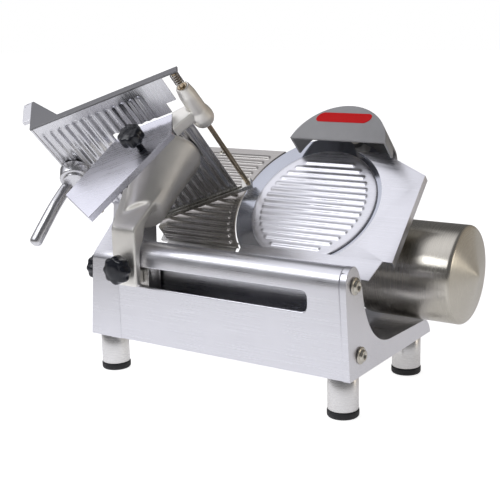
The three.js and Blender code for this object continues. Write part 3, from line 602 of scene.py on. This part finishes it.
# ---- carriage ----
def build_tray():
    width, right, low, high = 262, -16, 9.5, 318

    def rib(x, y):
        index = round((x + width - 12) / TRAY_RIB_PITCH)
        level = -width + 12 + index * TRAY_RIB_PITCH
        if index < 0 or level > right - 8:
            return 0.0
        top = 300 if level < -58 else 198
        bottom = low + 12 if level > -205 else low + 12 + (-205 - level) * 4
        return capsule_rib(y, x - level, (bottom, top), 7.2, 2.2)

    # The sheet is drawn with its height towards the food side, and then turned to stand in the tray.
    stand = TRAY @ Matrix(((1, 0, 0, 0), (0, 0, 1, 0), (0, -1, 0, 0), (0, 0, 0, 1)))
    ribbed = sheet((-width - 1, right + 1), (-high - 1, -low + 1), (1.2, 2.4),
                   lambda x, y: 1.6 + rib(x, -y), lambda x, y: rib(x, -y))
    outline = [(-215, -low), (right, -low), (right, -208), (-150, -208), (-150, -240), (-35, -240),
               (-35, -262), (right, -262), (right, -high + 3), (-width + 1, -high + 3), (-width + 1, -200)]
    floor = piece("ribbed_tray_floor", ribbed, stand, TRAY_SHEET, "tray")
    trimmed(floor, stand, outline, -9, 9)

    wall = 68
    side = prism([(-width - 4, high - 1), (-width, high - 1), (-width, 200), (-215, low), (-219, low),
                  (-width - 4, 200)], 0, wall)
    turn = TRAY @ Matrix(((1, 0, 0, 0), (0, 0, 1, 0), (0, 1, 0, 0), (0, 0, 0, 1)))
    piece("tray_side_wall", side, turn, TRAY_SHEET, "tray", replaces=False, edge=0.8)
    lip = [(-width - 2, wall), (-width - 12, wall), *arc(4, math.pi / 2, math.pi, 8, -width - 12, wall - 4),
           (-width - 16, wall - 9), (-width - 14.5, wall - 9), (-width - 14.5, wall - 4),
           (-width - 2, wall - 1.6)]
    piece("tray_rolled_lip", prism(lip, 200, high), TRAY, TRAY_SHEET, "tray",
          replaces=False, edge=0.4)
    rim = [(-width - 4, 0), (14, 0), (14, 11), (-212, 11), (-width, wall), (-width - 4, wall)]
    piece("tray_rim", prism(rim, high - 4, high), TRAY, TRAY_TRIM, "tray", replaces=False,
          edge=0.7)
    flange = [(-width - 20, 24), (-width - 3, 24), (-width - 3, wall), (-width - 20, wall)]
    piece("tray_flange", prism(flange, high - 8, high), TRAY, TRAY_SHEET, "tray", replaces=False,
          edge=1.2)


def build_lower_bar():
    low = 9.5
    channel = [(-9, low), (-0.35, low), (-0.35, low + 9), (-2.2, low + 9), (-2.2, low + 2.6),
               (-7, low + 2.6), (-7, low + 9), (-9, low + 9)]
    strip = loft([[(x, v, n) for v, n in channel] for x in (-214, -6)])
    block = prism([(-6.2, -9), (12, -9), (12, 10), (-6.2, 10)], low, low + 10)
    piece("tray_channel", combined(strip, block), TRAY, MATERIALS["stainless"], "tray_lower_bar", edge=0.6)


def build_spring():
    turns, wire, radius, low, high = 5, 1.1, 6.8, 289.2, 311.8
    steps = 220
    rings = []
    for i in range(steps + 1):
        t = 2 * math.pi * turns * i / steps
        middle = Vector((radius * math.cos(t), radius * math.sin(t), low + (high - low) * i / steps))
        out = Vector((math.cos(t), math.sin(t), 0))
        up = Vector((0, 0, 1))
        ring = []
        for k in range(10):
            a = 2 * math.pi * k / 10
            point = middle + out * (wire * math.cos(a)) + up * (wire * math.sin(a))
            ring.append((point.x + ROD[0], point.y + ROD[1], point.z))
        rings.append(ring)
    piece("coil_spring", loft(rings), TRAY, SPRING_STEEL, "bumper_spring")


def build_pusher():
    blank = [(-44.5, 6), (-151, 6), (-153, -6), (-161, -10), (-252, -90), (-205, -161), (-47.5, -39)]
    shifted = [(x + ROD[0], y + ROD[1]) for x, y in blank]
    piece("pusher_flat_plate", prism(shifted, 216.5, 230), TRAY, PUSHER_SHEET,
          "pusher_plate", edge=1.4)
    teeth = []
    for i in range(9):
        for j in range(5):
            x, y = -200 + i * 15 + j * 2, -34 - j * 17 + i * 0.8
            if y > -150 + (x + 205) * 0.85:
                teeth.append(lathe([(3.0, 217), (0.5, 213.4)], 16, x + ROD[0], y + ROD[1]))
    piece("pusher_teeth", combined(*teeth), TRAY, MATERIALS["polished_steel"], "pusher_plate",
          replaces=False)


def build_handle():
    path = [Vector(p) for p in ((-531, -30, 338), (-531, -52, 320), (-534, -70, 300), (-541, -90, 270),
                                (-549, -108, 240))]
    radii = (9.8, 10.2, 10.6, 10.9, 11.0)

    def at(points, t):
        spot = min(len(points) - 2, int(t * (len(points) - 1)))
        local = t * (len(points) - 1) - spot
        p0, p3 = points[max(0, spot - 1)], points[min(len(points) - 1, spot + 2)]
        p1, p2 = points[spot], points[spot + 1]
        return 0.5 * ((2 * p1) + (p2 - p0) * local + (2 * p0 - 5 * p1 + 4 * p2 - p3) * local ** 2
                      + (3 * p1 - p0 - 3 * p2 + p3) * local ** 3)

    rings = []
    steps = 60
    for i in range(steps + 1):
        t = i / steps
        ahead = (at(path, min(1, t + 0.01)) - at(path, max(0, t - 0.01))).normalized()
        side = ahead.cross(Vector((1, 0, 0))).normalized()
        over = ahead.cross(side)
        remaining = (1 - t) * 110
        radius = at(radii, t) * (math.sqrt(max(0.02, 1 - (1 - remaining / 9) ** 2)) if remaining < 9 else 1)
        middle = at(path, t)
        ring = []
        for k in range(40):
            a = 2 * math.pi * k / 40
            point = middle + side * (radius * math.cos(a)) + over * (radius * math.sin(a))
            ring.append(tuple(point))
        rings.append(ring)
    piece("carriage_lever", loft(rings), MACHINE, SATIN_BAR, "carriage_handle")
    lug_place = TRAY @ Matrix.Translation((-0.251, 0, 0.197)) @ Matrix.Rotation(math.radians(90), 4, "X")
    lug = [(24, 0.4), (25.4, 0.8), (26, 2), (26, 21), (25, 23.2), (23, 24), (20, 24.4), (20, 29),
           (18.6, 30)]
    piece("lever_boss", lathe(lug), lug_place, SATIN_BAR, "carriage_handle", replaces=False)


def build_arm_details():
    for name, spot, out in (("upper_arm_screw", (-81, -18, 197), (0.3, -0.3, 0.9)),
                            ("lower_arm_screw", (-71, -37, 142), (0.65, -0.75, 0.1))):
        place = TRAY @ axes(Vector(spot) * MM, Vector((0, 1, 0)).cross(Vector(out)), out)
        screw_head(name, place, 4.0, "carriage_arm")
    button = [(0.5, 0), (4.6, 0), (4.6, 8.0), (3.8, 9.2), (1.5, 9.8)]
    place = TRAY @ Matrix.Translation((-0.1874, -0.1325, 0.2175)) @ Matrix.Rotation(math.pi, 4, "X")
    piece("nylon_button", lathe(button, 40), place, NYLON, "pusher_plate", replaces=False)


# ---- CAD nodes that stay ----
def keep_nodes():
    gentle = {"gearbox_cradle": 2.0, "sharpener_cover": 1.6, "knife_housing": 1.2,
              "gearbox_housing": 1.5, "gearbox_cover": 1.2, "motor_flange": 1.0, "gauge_bracket": 1.2,
              "gauge_support": 1.2, "carriage_block": 1.0, "run_capacitor": 1.0, "switch_bezel": 1.2,
              "cable_gland": 0.8, "fence_plate": 0.45}
    replaced = {"blade", "knife_cover", "gauge_plate", "upper_end_screw", "lower_end_screw", "arm_knob",
                "index_knob", "pusher_knob", "cover_lock_knob", "foot_front_right", "foot_front_left",
                "foot_back_right", "foot_back_left", "motor_shell", "tray", "tray_lower_bar",
                "bumper_spring", "pusher_plate", "carriage_handle", "carriage_arm", "pusher_sleeve",
                "base_casting", "left_end_casting", "right_end_plate"}
    for name in frame["nodes"]:
        if name not in replaced:
            keep(name, gentle.get(name, 0.35))


# ---- studio ----
CAMERA_PLACE = MACHINE @ Vector((0.72476, -1.34010, 0.62095))
CAMERA_RIGHT = (0.8362, 0.5479, -0.0224)
CAMERA_BACK = (0.5379, -0.8115, 0.2284)


def build_camera():
    data = bpy.data.cameras.new("camera")
    camera = bpy.data.objects.new("camera", data)
    bpy.context.scene.collection.objects.link(camera)
    camera.matrix_world = axes(CAMERA_PLACE, CAMERA_RIGHT, CAMERA_BACK)
    data.lens = 73.41
    data.sensor_width = 36
    data.shift_x = -0.0071
    data.shift_y = 0.0089
    bpy.context.scene.camera = camera


def soft_box(name, direction, distance, size, power, colour, aim=(0.0, 0.0, 0.2)):
    data = bpy.data.lights.new(name, "AREA")
    data.shape = "RECTANGLE"
    data.size, data.size_y = size
    data.energy = power
    data.color = colour
    light = bpy.data.objects.new(name, data)
    bpy.context.scene.collection.objects.link(light)
    out = Vector(direction).normalized()
    light.location = Vector(aim) + out * distance
    light.rotation_euler = out.to_track_quat("Z", "Y").to_euler()


def camera_choice(tree, seen, mirrored):
    """One colour where the studio itself is seen, and another where it lights or is mirrored."""
    ray = node(tree, "ShaderNodeLightPath")
    choice = node(tree, "ShaderNodeMix", data_type="RGBA")
    choice.inputs["B"].default_value = seen
    tree.links.new(ray.outputs["Is Camera Ray"], choice.inputs["Factor"])
    tree.links.new(mirrored, choice.inputs["A"])
    return choice.outputs["Result"]


def build_world():
    """A dim room round a pale backdrop, with a broad soft source above the operator's left."""
    world = bpy.data.worlds.new("studio")
    bpy.context.scene.world = world
    world.use_nodes = True
    tree = world.node_tree
    place = node(tree, "ShaderNodeTexCoord")
    base = node(tree, "ShaderNodeVectorMath", {0: (0.13, 0.13, 0.135)}, operation="ADD")
    total = base.outputs["Vector"]
    lobes = [((0.55, 0.83, 0.0), 0.55, (0.24, 0.20, 0.15)),
             ((-0.52, -0.20, 0.83), 0.64, (0.88, 0.88, 0.93))]
    for direction, start, colour in lobes:
        facing = node(tree, "ShaderNodeVectorMath", {1: Vector(direction).normalized()},
                      operation="DOT_PRODUCT")
        tree.links.new(place.outputs["Generated"], facing.inputs[0])
        share = node(tree, "ShaderNodeMapRange", {"From Min": start, "From Max": 1.0},
                     interpolation_type="SMOOTHSTEP")
        tree.links.new(facing.outputs["Value"], share.inputs["Value"])
        scaled = node(tree, "ShaderNodeVectorMath", {0: colour}, operation="SCALE")
        tree.links.new(share.outputs["Result"], scaled.inputs["Scale"])
        added = node(tree, "ShaderNodeVectorMath", operation="ADD")
        tree.links.new(total, added.inputs[0])
        tree.links.new(scaled.outputs["Vector"], added.inputs[1])
        total = added.outputs["Vector"]
    shown = camera_choice(tree, (1, 1, 1, 1), total)
    tree.links.new(shown, tree.nodes["Background"].inputs["Color"])


def build_floor():
    """A pale floor, brightest beside the machine and darker and warmer further off."""
    floor = bpy.data.objects.new("floor", bpy.data.meshes.new("floor"))
    size = 14
    floor.data.from_pydata([(-size, -size, 0), (size, -size, 0), (size, size, 0), (-size, size, 0)], [],
                           [(0, 1, 2, 3)])
    bpy.context.scene.collection.objects.link(floor)
    white = moulded("floor_white", (0.90, 0.90, 0.90), 0.6)
    tree = white.node_tree
    surface = tree.nodes["Principled BSDF"]
    place = node(tree, "ShaderNodeTexCoord")
    away = node(tree, "ShaderNodeVectorMath", {1: (-0.10, -0.25, 0)}, operation="DISTANCE")
    tree.links.new(place.outputs["Object"], away.inputs[0])
    mixed = node(tree, "ShaderNodeMix", data_type="RGBA")
    mixed.inputs["A"].default_value = (0.44, 0.44, 0.46, 1)
    mixed.inputs["B"].default_value = (0.12, 0.11, 0.09, 1)
    tree.links.new(spread(tree, away.outputs["Value"], 0, 1, (0.3, 1.5)), mixed.inputs["Factor"])
    shown = camera_choice(tree, (0.84, 0.84, 0.84, 1), mixed.outputs["Result"])
    tree.links.new(shown, surface.inputs["Emission Color"])
    surface.inputs["Emission Strength"].default_value = 1.0
    floor.data.materials.append(white)
    floor.location.z = -0.0004


def build_studio():
    bpy.context.scene.view_settings.view_transform = "Standard"
    build_world()
    build_floor()
    soft_box("strip_box", (-0.42, -0.70, 0.58), 1.7, (1.2, 0.5), 5.0, (0.96, 0.97, 1.0), (0.1, 0.0, 0.2))
    soft_box("warm_side_box", (0.90, 0.42, 0.03), 1.9, (0.45, 0.3), 0.9, (1.0, 0.92, 0.80))


build_camera()
keep_nodes()
build_knife()
build_gauge()
build_end_screws()
build_knobs()
build_feet()
build_motor()
build_label()
build_castings()
build_tray()
build_lower_bar()
build_spring()
build_pusher()
build_handle()
build_arm_details()
soft_casting("arm_casting", "carriage_arm", 1.6, 45)
soft_casting("pusher_casting", "pusher_sleeve", 1.0, 28)
build_studio()
